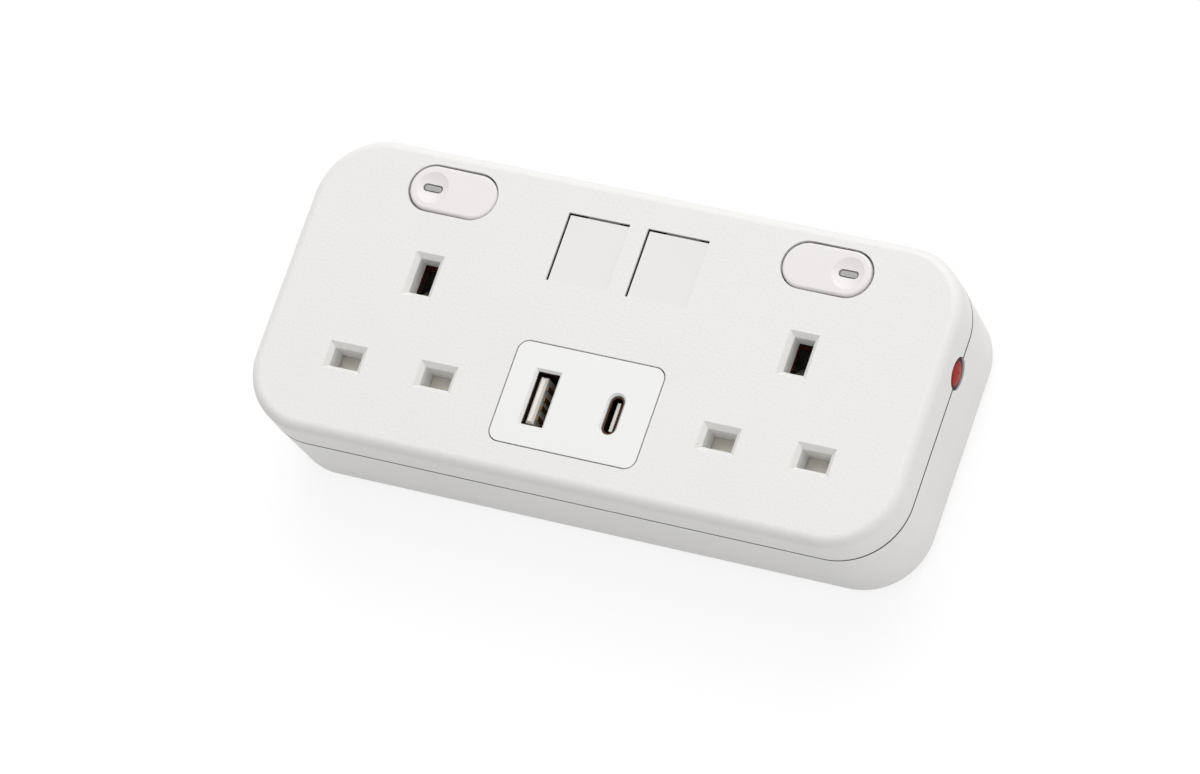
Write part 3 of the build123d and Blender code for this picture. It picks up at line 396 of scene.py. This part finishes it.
def leaf_rings(wall_x, middle_y, top_z, inwards):
    """A spring leaf as flat rings going up. It leaves the wall by the square of a sine, most halfway up."""
    rise = np.linspace(0, 1, wide_leaf_ring_count)
    off = inwards * (wide_leaf_thickness / 2 + wide_leaf_bulge * np.sin(np.pi * rise) ** 2)
    corner_x = np.array([1, 1, -1, -1]) * wide_leaf_thickness / 2
    corner_y = np.array([-1, 1, 1, -1]) * wide_leaf_width / 2
    x = wall_x + off[:, None] + corner_x
    y = middle_y + np.zeros_like(x) + corner_y
    z = top_z + wide_leaf_length * (rise[:, None] - 1) + np.zeros_like(x)
    return np.stack([x, y, z], axis=-1)


wide_low, wide_high = box_mm("wide_port_shell")
wide_middle = (wide_low + wide_high) / 2
wide_leaves = closed_tubes(
    "wide_port_leaves",
    np.stack([
        leaf_rings(wall_x, wide_middle[1] + along * wide_leaf_offset, wide_high[2] - wide_leaf_sink, inwards)
        for wall_x, inwards in ((wide_low[0] + wide_can_metal, 1), (wide_high[0] - wide_can_metal, -1))
        for along in (-1, 1)
    ]),
)
# Nickel plate in a port is painted a dim warm grey as shade, the tongue an even ivory and thin gold plate a
# dull tan.
# The material's name string nickel_plated_steel stays, but its colour is painted shade, darker than bare
# nickel.
port_steel_painted_dim = rolled_metal(
    "nickel_plated_steel", "#70645c", "#5e534c", roughness=0.34, line_mm=0.15, along="Z"
)
wide_leaves.data.materials.append(port_steel_painted_dim)
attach(wide_leaves, "case")
dress(port_steel_painted_dim, "wide_port_shell")
ivory_tongue = moulded_plastic(
    "ivory_port_tongue", "#efece4", "#e8e4da", roughness=0.45, grain_mm=0.3, depth_mm=0.01
)
dress(ivory_tongue, "wide_port_tongue")
gold_plate = rolled_metal(
    "gold_plated_contact", "#a98a64", "#8c7050", roughness=0.55, line_mm=0.15, along="Z"
)
dress(gold_plate, "wide_port_contacts")

# Oval port: a deep-drawn steel sleeve round a thin white tongue.
# The tongue carries a row of gold-plated contacts, half a millimetre apart, on each face.
oval_pad_count = 12
oval_pad_pitch = 0.5
oval_pad_width = 0.26
oval_pad_length = 3.8
oval_pad_proud = 0.03
oval_pad_sink = 0.25

oval_low, oval_high = box_mm("oval_port_tongue")
oval_middle = (oval_low + oval_high) / 2
pad_y = oval_middle[1] + (np.arange(oval_pad_count) - (oval_pad_count - 1) / 2) * oval_pad_pitch
pad_face, pad_place = np.meshgrid([oval_low[0], oval_high[0]], pad_y, indexing="ij")
pad_corner_x = np.array([1, 1, -1, -1]) * oval_pad_proud
pad_corner_y = np.array([-1, 1, 1, -1]) * oval_pad_width / 2
pad_level = oval_high[2] - oval_pad_sink - np.array([oval_pad_length, 0])
pad_x = pad_face.reshape(-1, 1, 1) + np.zeros((1, 2, 1)) + pad_corner_x
pad_rings = np.stack(
    [
        pad_x,
        pad_place.reshape(-1, 1, 1) + np.zeros_like(pad_x) + pad_corner_y,
        np.zeros_like(pad_x) + pad_level[None, :, None],
    ],
    axis=-1,
)
oval_pads = closed_tubes("oval_port_contacts", pad_rings)
oval_pads.data.materials.append(gold_plate)
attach(oval_pads, "case")
# Drawn steel is painted dark brown as the shade inside the sleeve, and the tongue looks an off-white.
sleeve_steel_painted_shade = rolled_metal("dark_drawn_steel", "#523a31", "#443029", roughness=0.4, line_mm=0.15, along="Z")
dress(sleeve_steel_painted_shade, "oval_port_shell")
white_tongue = moulded_plastic(
    "white_port_tongue", "#e6e2da", "#ddd8cf", roughness=0.4, grain_mm=0.3, depth_mm=0.008
)
dress(white_tongue, "oval_port_tongue")

# Board screws: thread-forming steel screws with cross-recessed heads, bright zinc plated.
# The same kind holds the carriers and the cord clamp, and a longer one closes the case.
thread_depth_share = 0.2
recess_arm_share = 0.62
recess_width_share = 0.2
recess_depth_share = 0.6
recess_edge_share = 0.12
head_dome_share = 0.3
head_middle_share = 0.02
head_ring_count = 20
tip_shares = (0.9, 0.25)
rings_per_pitch = 6
screw_point_count = 48


def screw_rings(head_radius, head_height, shank_radius, length, pitch):
    """Rings of a screw that stands on its head, from the middle of the head's face up to the tip.
    Face: a dome that rises with the square of the radius, less a cross where either arm is near its axis.
    Thread: the radius falls by a triangle wave of height over pitch less the turn round the shank."""
    turn = np.linspace(0, 2 * np.pi, screw_point_count, endpoint=False)
    face_radius = head_radius * np.linspace(head_middle_share, 1, head_ring_count)[:, None]
    x = face_radius * np.cos(turn)
    y = face_radius * np.sin(turn)
    edge = recess_edge_share * head_radius
    arm_ends = np.clip((recess_arm_share * head_radius - np.hypot(x, y)) / edge, 0, 1)
    nearest_axis = np.minimum(np.abs(x), np.abs(y))
    cross = np.clip((recess_width_share * head_radius - nearest_axis) / edge, 0, 1) * arm_ends
    dome = head_dome_share * head_height * (face_radius / head_radius) ** 2
    face_z = dome + recess_depth_share * head_height * cross
    neck_radius = np.array([head_radius, shank_radius])[:, None]
    shank_z = np.arange(head_height, length - shank_radius, pitch / rings_per_pitch)[:, None]
    wave = (shank_z / pitch - turn / (2 * np.pi)) % 1
    thread = shank_radius * (1 - thread_depth_share * (1 - np.abs(2 * wave - 1)))
    tip_radius = shank_radius * (1 - thread_depth_share) * np.array(tip_shares)[:, None]
    flat = np.zeros_like(turn)
    radius = np.concatenate([face_radius + flat, neck_radius + flat, thread, tip_radius + flat])
    height = np.concatenate([
        face_z,
        np.full((2, turn.size), head_height),
        shank_z + flat,
        np.array([length - shank_radius, length])[:, None] + flat,
    ])
    return np.stack([radius * np.cos(turn), radius * np.sin(turn), height], axis=-1)


def place_screws(name, rings, places, head_z, upwards):
    """Copies of one screw with their head faces at a level; those that go down are turned over about X."""
    turned = rings * np.array([1, 1, 1] if upwards else [1, -1, -1])
    centres = np.array([(x, y, head_z) for x, y in places])
    screws = closed_tubes(name, turned[None] + centres[:, None, None, :])
    screws.data.materials.append(zinc_plate)
    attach(screws, "case")
    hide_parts(name)


def corner_places(node, head_radius):
    """The middles of screws that stand in the corners of a node's box."""
    low, high = box_mm(node)
    return [
        (x, y)
        for x in (low[0] + head_radius, high[0] - head_radius)
        for y in (low[1] + head_radius, high[1] - head_radius)
    ]


# Bright zinc plate looks a bluish silver.
zinc_plate = rolled_metal(
    "bright_zinc_plate", "#b9bcc0", "#a5a8ab", roughness=0.25, line_mm=0.3, along="Z"
)
small_head_radius = 2.2
small_head_height = 1.3
small_shank_radius = 1.1
small_pitch = 0.8


def small_screw_rings(node):
    """Rings of the small screw, as long as the box of its CAD node is high."""
    low, high = box_mm(node)
    length = high[2] - low[2]
    return screw_rings(small_head_radius, small_head_height, small_shank_radius, length, small_pitch)


place_screws(
    "board_screws",
    small_screw_rings("board_screws"),
    corner_places("board_screws", small_head_radius),
    box_mm("board_screws")[1][2],
    upwards=False,
)

# Lamp: a small clear glass neon tube, pushed into the back of the lens.
# Drawn glass is clear and smooth, and shows only as depth behind the red.
lamp_glass, lamp_tree = start_material("clear_lamp_glass")[:2]
add_node(
    lamp_tree,
    "Principled BSDF",
    {"Base Color": linear("#f3ded2"), "Roughness": 0.05, "IOR": 1.5, "Transmission Weight": 0.85},
)
dress(lamp_glass, "neon_lamp")

# Lens: a domed stud moulded in red acrylic, with a flange behind the end wall.
# It looks deep red and a little cloudy; painted shade turns its rim maroon, where the skirt goes into the
# wall.
lens_mottle_mm = 1.2
lens_shade_rim_mm = (2.3, 3.0)
lens_low, lens_high = box_mm("neon_lens")
lens_middle = (lens_low + lens_high) / 2
lens_red, lens_tree, lens_place = start_material("cloudy_red_acrylic")
lens_mottle = add_node(
    lens_tree,
    "ShaderNodeTexNoise",
    {"Vector": lens_place, "Scale": 1 / (lens_mottle_mm * MM), "Detail": 2.0},
)
lens_tone = add_node(
    lens_tree,
    "ShaderNodeMix",
    {"Factor": lens_mottle.outputs["Fac"], mix_first: linear("#b0342a"), mix_second: linear("#8f2119")},
    data_type="RGBA",
)
lens_across = add_node(
    lens_tree,
    "ShaderNodeVectorMath",
    {0: lens_place, 1: (0.0, 1.0, 1.0), 2: (0.0, -lens_middle[1] * MM, -lens_middle[2] * MM)},
    operation="MULTIPLY_ADD",
)
lens_reach = add_node(
    lens_tree, "ShaderNodeVectorMath", {0: lens_across.outputs["Vector"]}, operation="LENGTH"
)
# Painted shade: a maroon ring darkens the lens towards its rim.
lens_rim_shade = add_node(
    lens_tree,
    "ShaderNodeMapRange",
    {
        "Value": lens_reach.outputs["Value"],
        "From Min": lens_shade_rim_mm[0] * MM,
        "From Max": lens_shade_rim_mm[1] * MM,
    },
)
lens_colour = add_node(
    lens_tree,
    "ShaderNodeMix",
    {
        "Factor": lens_rim_shade.outputs["Result"],
        mix_first: lens_tone.outputs[mix_result],
        mix_second: linear("#3d0f0d"),
    },
    data_type="RGBA",
)
add_node(
    lens_tree,
    "Principled BSDF",
    {
        "Base Color": lens_colour.outputs[mix_result],
        "Roughness": 0.3,
        "IOR": 1.49,
        "Specular IOR Level": 0.05,
    },
)
dress(lens_red, "neon_lens")

# Cord gland and clamp: a white bush through the left-hand end wall, moulded in soft PVC,
# and behind it a black nylon strap that two screws pull down on the cord's saddle.
# Soft PVC looks a greyer white than the case, and moulded nylon a satin black.
soft_pvc = moulded_plastic(
    "white_soft_pvc", "#dcdcd9", "#d2d2cf", roughness=0.5, grain_mm=0.5, depth_mm=0.012
)
dress(soft_pvc, "cord_gland")
black_nylon = moulded_plastic(
    "black_nylon", "#232324", "#1b1b1c", roughness=0.45, grain_mm=0.5, depth_mm=0.015
)
dress(black_nylon, "cord_clamp")
clamp_low, clamp_high = box_mm("clamp_screws")
clamp_x = (clamp_low[0] + clamp_high[0]) / 2
place_screws(
    "clamp_screws",
    small_screw_rings("clamp_screws"),
    [(clamp_x, clamp_low[1] + small_head_radius), (clamp_x, clamp_high[1] - small_head_radius)],
    clamp_high[2],
    upwards=False,
)

# Top cover: the face and the upper walls in one moulding, from the same white ABS as the base.
# Its edge is rounded, its pin slots are flared, and it meets the base at a fine gap darkened with painted
# shade.
dress(case_abs, "top_cover")

# Shutters and carriers: cream plates that close the line slots, with a ramp under each earth slot,
# moulded in acetal. They slide on carriers of brown phenolic, which screw up against the cover.
# Acetal looks a waxy cream, and phenolic a dull red-brown.
cream_acetal = moulded_plastic(
    "cream_acetal", "#dedbd2", "#d6d2c8", roughness=0.38, grain_mm=0.6, depth_mm=0.01
)
dress(cream_acetal, "shutter_left", "shutter_right")
brown_phenolic = moulded_plastic(
    "brown_phenolic", "#6a382c", "#583026", roughness=0.5, grain_mm=0.5, depth_mm=0.015
)
dress(brown_phenolic, "shutter_carrier_left", "shutter_carrier_right")
carrier_screw_reach = 12.0
carrier_low, carrier_high = box_mm("carrier_screws")
carrier_middles = [sum(box_mm(f"shutter_carrier_{side}"))[0] / 2 for side in ("left", "right")]
carrier_line = (carrier_low[1] + carrier_high[1]) / 2
place_screws(
    "carrier_screws",
    small_screw_rings("carrier_screws"),
    [(x + end * carrier_screw_reach, carrier_line) for x in carrier_middles for end in (-1, 1)],
    carrier_low[2],
    upwards=True,
)

# Shutter springs: coils of drawn steel wire with closed ends, between each shutter and its carrier.
# They are squeezed as a plug's earth pin pushes the shutter forward.
spring_wire_radius = 0.2
spring_closed_turns = 0.9
spring_turn_count = 7
spring_rings_per_turn = 28
spring_wire_points = 10


def spring_rings(foot, axis, coil_radius, length, turns):
    """Rings along a coil spring's wire: a circle carried square to the wire's middle line.
    That line goes round the axis at the coil radius. It climbs one wire's thickness in each closed end turn,
    and evenly between them."""
    turn = np.linspace(0, turns, turns * spring_rings_per_turn + 1)
    closed_rise = spring_closed_turns * 2 * spring_wire_radius
    climb = length - 2 * spring_wire_radius
    knots = [0, spring_closed_turns, turns - spring_closed_turns, turns]
    height = spring_wire_radius + np.interp(turn, knots, [0, closed_rise, climb - closed_rise, climb])
    side = np.cross(axis, (1, 0, 0) if abs(axis[0]) < 0.5 else (0, 1, 0))
    side = side / np.linalg.norm(side)
    angle = 2 * np.pi * turn[:, None]
    outwards = np.cos(angle) * side + np.sin(angle) * np.cross(axis, side)
    middle = foot + height[:, None] * axis + coil_radius * outwards
    ahead = np.gradient(middle, axis=0)
    across = np.cross(ahead / np.linalg.norm(ahead, axis=1, keepdims=True), outwards)
    around = np.linspace(0, 2 * np.pi, spring_wire_points, endpoint=False)[None, :, None]
    circle = np.cos(around) * outwards[:, None] + np.sin(around) * across[:, None]
    return middle[:, None] + spring_wire_radius * circle


# Drawn spring wire looks a mid grey, with a bright line along each turn.
spring_steel = rolled_metal(
    "drawn_spring_wire", "#a9abae", "#8d8f92", roughness=0.3, line_mm=0.1, along="Y"
)
for side in ("left", "right"):
    low, high = box_mm(f"shutter_spring_{side}")
    middle = (low + high) / 2
    coil_radius = (high[0] - low[0]) / 2 - spring_wire_radius
    foot = np.array([middle[0], low[1], middle[2]])
    coil = spring_rings(foot, np.array([0.0, 1.0, 0.0]), coil_radius, high[1] - low[1], spring_turn_count)
    spring = closed_tubes(f"shutter_coil_{side}", coil[None])
    spring.data.materials.append(spring_steel)
    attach(spring, "case")
    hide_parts(f"shutter_spring_{side}")
    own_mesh(spring)

# Data blanks: plain white ABS inserts that close the two data places, clipped in from behind.
# Each is set over to the front and right, so a dark gap shows along its left and back edges.
# This ABS came off a smoother mould than the case, so it looks flat and a shade cooler.
blank_abs = moulded_plastic(
    "white_abs_insert", "#eae9e8", "#e6e5e4", roughness=0.4, grain_mm=0.7, depth_mm=0.01
)
dress(blank_abs, "data_blank_left", "data_blank_right")

# Charger plate: a flush white polycarbonate fascia, smoother than the face, with a fine gap all round.
# The mouths of both ports are flared into it.
fascia_white = moulded_plastic(
    "white_polycarbonate_fascia", "#f1f1f0", "#eeeeed", roughness=0.32, grain_mm=0.9, depth_mm=0.005
)
dress(fascia_white, "charger_plate")

# Rockers: pill-shaped keys moulded in glossy white polycarbonate, a shade warmer than the face.
# Each tips on a pin and has a round thumb dimple at its outer end.
rocker_gloss = moulded_plastic(
    "glossy_white_polycarbonate", "#ece8e8", "#e9e5e5", roughness=0.34, grain_mm=1.2, depth_mm=0.004
)
dress(rocker_gloss, "rocker_left", "rocker_right")

# Indicator windows: small pills moulded in grey polycarbonate, pushed up from inside each rocker.
# They lie in the floor of the dimple, with a dark gap round them.
window_grey = moulded_plastic(
    "grey_polycarbonate", "#a8a6a5", "#9e9c9b", roughness=0.25, grain_mm=0.8, depth_mm=0.004
)
dress(window_grey, "rocker_window_left", "rocker_window_right")

# Plungers: black nylon pins with round noses, pushed down on the see-saws by short coil springs.
# Both ride inside the tube under each rocker and are hidden by it.
plunger_spring_turn_count = 5
rocker_tilt = radians(1.4)
dress(black_nylon, "plunger_left", "plunger_right")
for side, outer in (("left", -1), ("right", 1)):
    low, high = box_mm(f"plunger_spring_{side}")
    middle = (low + high) / 2
    axis = np.array([-outer * sin(rocker_tilt), 0.0, cos(rocker_tilt)])
    coil_radius = (high[1] - low[1]) / 2 - spring_wire_radius
    length = (high[2] - low[2]) * cos(rocker_tilt) - 2 * coil_radius * sin(rocker_tilt)
    coil = spring_rings(middle - axis * length / 2, axis, coil_radius, length, plunger_spring_turn_count)
    spring = closed_tubes(f"plunger_coil_{side}", coil[None])
    spring.data.materials.append(spring_steel)
    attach(spring, f"rocker_{side}")
    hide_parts(f"plunger_spring_{side}")

# Case screws: four long thread-forming screws, put in from below at the corners.
# Their heads sit deep in round wells in the base.
case_head_radius = 2.8
case_head_height = 1.9
case_shank_radius = 1.45
case_pitch = 1.1
case_low, case_high = box_mm("case_screws")
case_length = case_high[2] - case_low[2]
place_screws(
    "case_screws",
    screw_rings(case_head_radius, case_head_height, case_shank_radius, case_length, case_pitch),
    corner_places("case_screws", case_head_radius),
    case_low[2],
    upwards=True,
)

# Studio: white paper that throws light up at the walls and reads as white, with a faint shadow, when seen,
# a soft white surround, one large lamp high at the back and a weak one low at the right.
floor_half = 4.0
floor_drop = -0.0001
floor_lift = 0.79
floor_thrown_colour = "#e2e2e2"
floor_seen_colour = "#8a8a8a"
surround_light = 0.52
key_place = Vector((-0.3, 1.8, 2.0))
key_size = 3.0
key_watts = 50.0
fill_place = Vector((1.6, -0.5, 0.3))
fill_size = 1.6
fill_watts = 7.5

floor_mesh = bpy.data.meshes.new("floor")
floor_corners = np.array([(-1, -1, 0), (1, -1, 0), (1, 1, 0), (-1, 1, 0)]) * floor_half + (0, 0, floor_drop)
floor_mesh.from_pydata(floor_corners.tolist(), [], [(0, 1, 2, 3)])
floor = bpy.data.objects.new("floor", floor_mesh)
bpy.context.scene.collection.objects.link(floor)


def seen_directly(tree):
    """One where a ray from the camera, a reflection or a clear piece arrives, and nought for other light."""
    rays = add_node(tree, "ShaderNodeLightPath", {}).outputs
    mirrored = add_node(
        tree, "ShaderNodeMath", {0: rays["Is Camera Ray"], 1: rays["Is Glossy Ray"]}, operation="MAXIMUM"
    )
    return add_node(
        tree,
        "ShaderNodeMath",
        {0: mirrored.outputs["Value"], 1: rays["Is Transmission Ray"]},
        operation="MAXIMUM",
    ).outputs["Value"]


# Matt white paper throws back most of the light. Where it is seen it is darker, and then lifted to white,
# so that the shadow on it is faint.
floor_white, floor_tree = start_material("white_paper_floor")[:2]
floor_seen = seen_directly(floor_tree)
floor_glow = add_node(floor_tree, "ShaderNodeMath", {0: floor_seen, 1: floor_lift}, operation="MULTIPLY")
floor_tone = add_node(
    floor_tree,
    "ShaderNodeMix",
    {
        "Factor": floor_seen,
        mix_first: linear(floor_thrown_colour),
        mix_second: linear(floor_seen_colour),
    },
    data_type="RGBA",
)
add_node(
    floor_tree,
    "Principled BSDF",
    {
        "Base Color": floor_tone.outputs[mix_result],
        "Roughness": 1.0,
        "Specular IOR Level": 0.0,
        "Emission Color": (1, 1, 1, 1),
        "Emission Strength": floor_glow.outputs["Value"],
    },
)
floor_mesh.materials.append(floor_white)

studio = bpy.data.worlds.new("studio")
studio.use_nodes = True
studio_level = add_node(
    studio.node_tree,
    "ShaderNodeMapRange",
    {"Value": seen_directly(studio.node_tree), "To Min": surround_light, "To Max": 1.0},
)
add_node(
    studio.node_tree, "Background", {"Color": (1, 1, 1, 1), "Strength": studio_level.outputs["Result"]}
)
bpy.context.scene.world = studio

# The low lamp makes no reflections, which would glare on the face from the left-hand end.
for name, place, size, watts, mirrored in (
    ("key_lamp", key_place, key_size, key_watts, True),
    ("fill_lamp", fill_place, fill_size, fill_watts, False),
):
    light = bpy.data.lights.new(name, "AREA")
    light.shape = "DISK"
    light.size = size
    light.energy = watts
    lamp = bpy.data.objects.new(name, light)
    lamp.location = place
    lamp.rotation_mode = "QUATERNION"
    lamp.rotation_quaternion = (-place).to_track_quat("-Z", "Y")
    lamp.visible_glossy = mirrored
    bpy.context.scene.collection.objects.link(lamp)

# Camera: a long lens, high in front and to the right, rolled so that the case runs down to the right.
# Its place, aim and roll were solved from the pin slots, whose spacing is standard.
camera_place = Vector((605.25, -437.53, 1360.86)) * MM
camera_aim = Vector((3.875, -11.059, 30.1)) * MM
camera_roll = radians(-38.76)
lens_mm = 211.9
sensor_mm = 36.0

photo_lens = bpy.data.cameras.new("camera")
photo_lens.sensor_width = sensor_mm
photo_lens.lens = lens_mm
camera = bpy.data.objects.new("camera", photo_lens)
camera.location = camera_place
camera.rotation_mode = "QUATERNION"
camera_aimed = (camera_aim - camera_place).to_track_quat("-Z", "Y")
camera.rotation_quaternion = camera_aimed @ Quaternion((0, 0, 1), camera_roll)
bpy.context.scene.collection.objects.link(camera)
bpy.context.scene.camera = camera
bpy.context.scene.view_settings.view_transform = "Standard"
